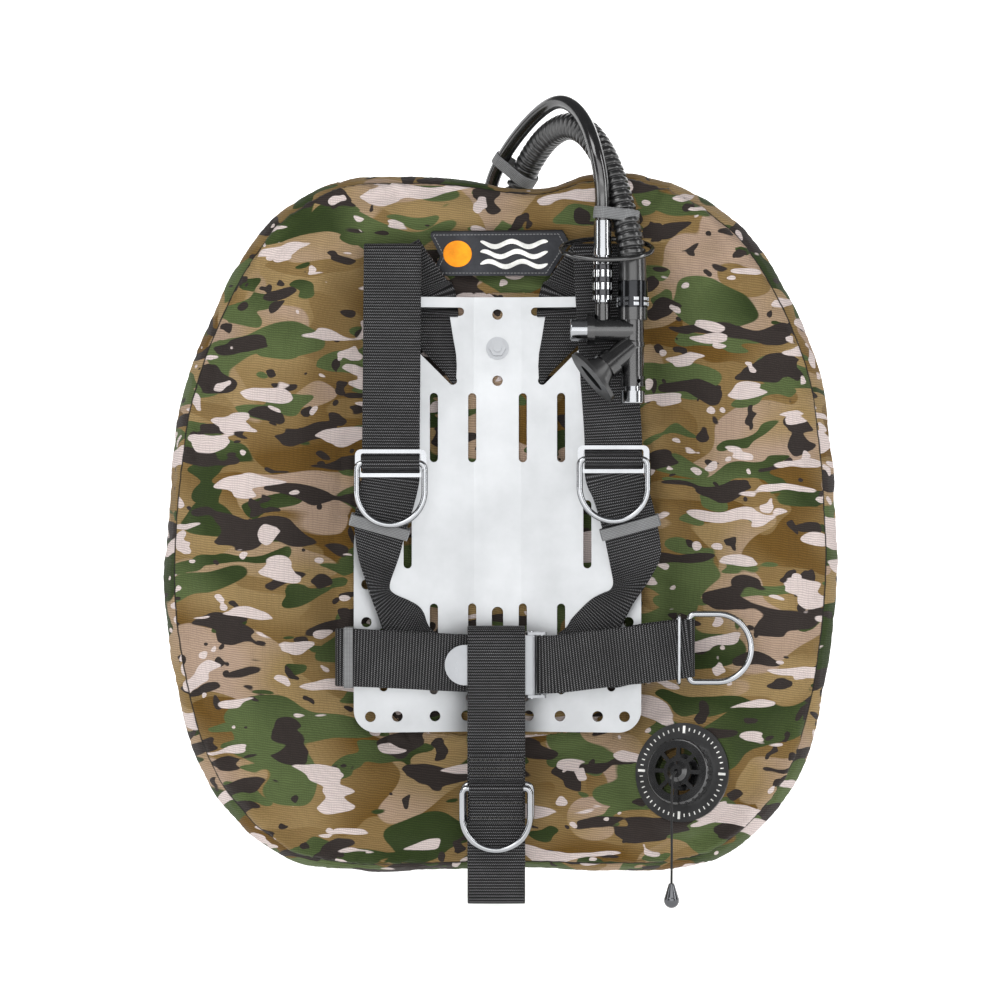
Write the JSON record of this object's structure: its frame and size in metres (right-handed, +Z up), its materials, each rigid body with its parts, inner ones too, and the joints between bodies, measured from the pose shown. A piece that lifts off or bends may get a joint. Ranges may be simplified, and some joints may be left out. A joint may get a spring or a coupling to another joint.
{
  "type": "buoyancy compensator vest",
  "caption": "Back-mounted buoyancy wing on a steel backplate with a webbing harness, corrugated-hose inflator and a pull-cord dump valve.",
  "frame": {"origin": "midway between the two mounting studs, on the plane where a tank band rests on the rear nuts", "axes": "+Z up along the wearer's back, +Y out of the back towards the tank, +X to the right for someone facing the harness side"},
  "size_m": [0.5951, 0.1696, 0.7073],
  "materials": {
    "plate_steel": "satin rolled sheet",
    "polished_steel": "polished",
    "grommet_brass": "dull",
    "black_plastic": "moulded, fine grain",
    "black_rubber": "matt",
    "gloss_hose": "smooth, glossy",
    "patch_rubber": "moulded patch, matt",
    "camouflage_cloth": "printed coarse nylon",
    "bladder_film": "coated nylon",
    "black_webbing": "ribbed nylon",
    "grey_elastic": "woven elastic",
    "cord_black": "braided",
    "knob_grey": "satin"
  },
  "bodies": {
    "root": {"backplate": "plate_steel", "mounting_studs": "polished_steel", "stud_nuts_rear": "polished_steel", "stud_washers_rear": "polished_steel", "wing_grommets": "grommet_brass", "stud_washers_front": "polished_steel", "stud_nuts_front": "polished_steel", "inflator_body": "black_plastic", "inflate_collar": "black_plastic", "inflate_spring": "polished_steel", "bottom_collar": "black_plastic", "deflate_spring": "polished_steel", "mouthpiece_collar": "black_plastic", "mouthpiece": "black_rubber", "inflator_nipple": "polished_steel", "qd_coupler": "polished_steel", "dump_valve_cap": "black_plastic", "dump_valve_base": "black_plastic", "dump_valve_ring": "black_rubber", "dump_spring": "polished_steel", "elbow_flange": "black_plastic", "wing_elbow": "black_plastic", "wing_cover_front": "camouflage_cloth", "wing_cover_back": "camouflage_cloth", "wing_bladder": "bladder_film", "wing_center_panel": "camouflage_cloth", "emblem_patch": "patch_rubber", "shoulder_webbing_left": "black_webbing", "shoulder_webbing_right": "black_webbing", "shoulder_slides": "polished_steel", "waist_webbing_left": "black_webbing", "waist_webbing_right": "black_webbing", "crotch_webbing": "black_webbing", "ring_tabs": "black_webbing", "elastic_keepers": "grey_elastic", "hip_keeper": "polished_steel", "buckle_frame": "polished_steel", "buckle_pin": "polished_steel", "corrugated_hose": "black_rubber", "lp_hose": "gloss_hose", "hose_clamp": "polished_steel", "hose_ferrules": "polished_steel", "first_stage_fitting": "polished_steel", "hose_band_lower": "grey_elastic", "hose_band_upper": "grey_elastic", "retaining_ring": "gloss_hose"},
    "shoulder_ring_left": {"shoulder_d_ring_left": "polished_steel"},
    "shoulder_ring_right": {"shoulder_d_ring_right": "polished_steel"},
    "crotch_ring_front": {"crotch_d_ring_front": "polished_steel"},
    "crotch_ring_rear": {"crotch_d_ring_rear": "polished_steel"},
    "hip_ring": {"hip_d_ring": "polished_steel"},
    "buckle_lever": {"buckle_lever": "polished_steel"},
    "inflate_button": {"inflate_button": "polished_steel"},
    "deflate_button": {"deflate_button": "polished_steel"},
    "qd_sleeve": {"qd_sleeve": "polished_steel"},
    "dump_poppet": {"dump_poppet": "black_plastic"},
    "pull_cord": {"pull_cord": "cord_black", "pull_knob": "knob_grey"}
  },
  "joints": [
    {"name": "shoulder_ring_left_swing", "type": "hinge", "parent": "root", "child": "shoulder_ring_left", "pos_m": [-0.0924, -0.06095, 0.038], "axis": [-1, 0, 0], "range_deg": [0, 120]},
    {"name": "shoulder_ring_right_swing", "type": "hinge", "parent": "root", "child": "shoulder_ring_right", "pos_m": [0.1005, -0.06095, 0.0415], "axis": [-1, 0, 0], "range_deg": [0, 120]},
    {"name": "crotch_ring_front_swing", "type": "hinge", "parent": "root", "child": "crotch_ring_front", "pos_m": [-0.0012, -0.0674, -0.2425], "axis": [-1, 0, 0], "range_deg": [0, 120]},
    {"name": "crotch_ring_rear_swing", "type": "hinge", "parent": "root", "child": "crotch_ring_rear", "pos_m": [0.0002, -0.0534, -0.2405], "axis": [-1, 0, 0], "range_deg": [0, 3]},
    {"name": "hip_ring_swing", "type": "hinge", "parent": "root", "child": "hip_ring", "pos_m": [0.1655, -0.066, -0.1215], "axis": [0, 0, -1], "range_deg": [0, 110]},
    {"name": "buckle_lever_open", "type": "hinge", "parent": "root", "child": "buckle_lever", "pos_m": [0.0295, -0.051, -0.137], "axis": [0, 0, 1], "range_deg": [0, 4]},
    {"name": "inflate_press", "type": "slide", "parent": "root", "child": "inflate_button", "axis": [1, 0, 0], "range_m": [0, 0.003], "stiffness_N_per_m": 1500, "springref_m": -0.002, "deforming": ["inflate_spring"]},
    {"name": "deflate_press", "type": "slide", "parent": "root", "child": "deflate_button", "axis": [0, 0, 1], "range_m": [0, 0.0035], "stiffness_N_per_m": 1500, "springref_m": -0.002, "deforming": ["deflate_spring"]},
    {"name": "qd_sleeve_slide", "type": "slide", "parent": "root", "child": "qd_sleeve", "axis": [0, 0, 1], "range_m": [0, 0.004], "stiffness_N_per_m": 1500, "springref_m": -0.002},
    {"name": "dump_poppet_lift", "type": "slide", "parent": "root", "child": "dump_poppet", "axis": [-0.4104, -0.8959, 0.1702], "range_m": [0, 0.004], "stiffness_N_per_m": 1200, "springref_m": -0.002, "deforming": ["dump_spring"]},
    {"name": "pull_cord_swing", "type": "hinge", "parent": "dump_poppet", "child": "pull_cord", "pos_m": [0.1529, -0.0661, -0.2274], "axis": [-0.4104, -0.8959, 0.1702], "range_deg": [-15, 25]}
  ]
}
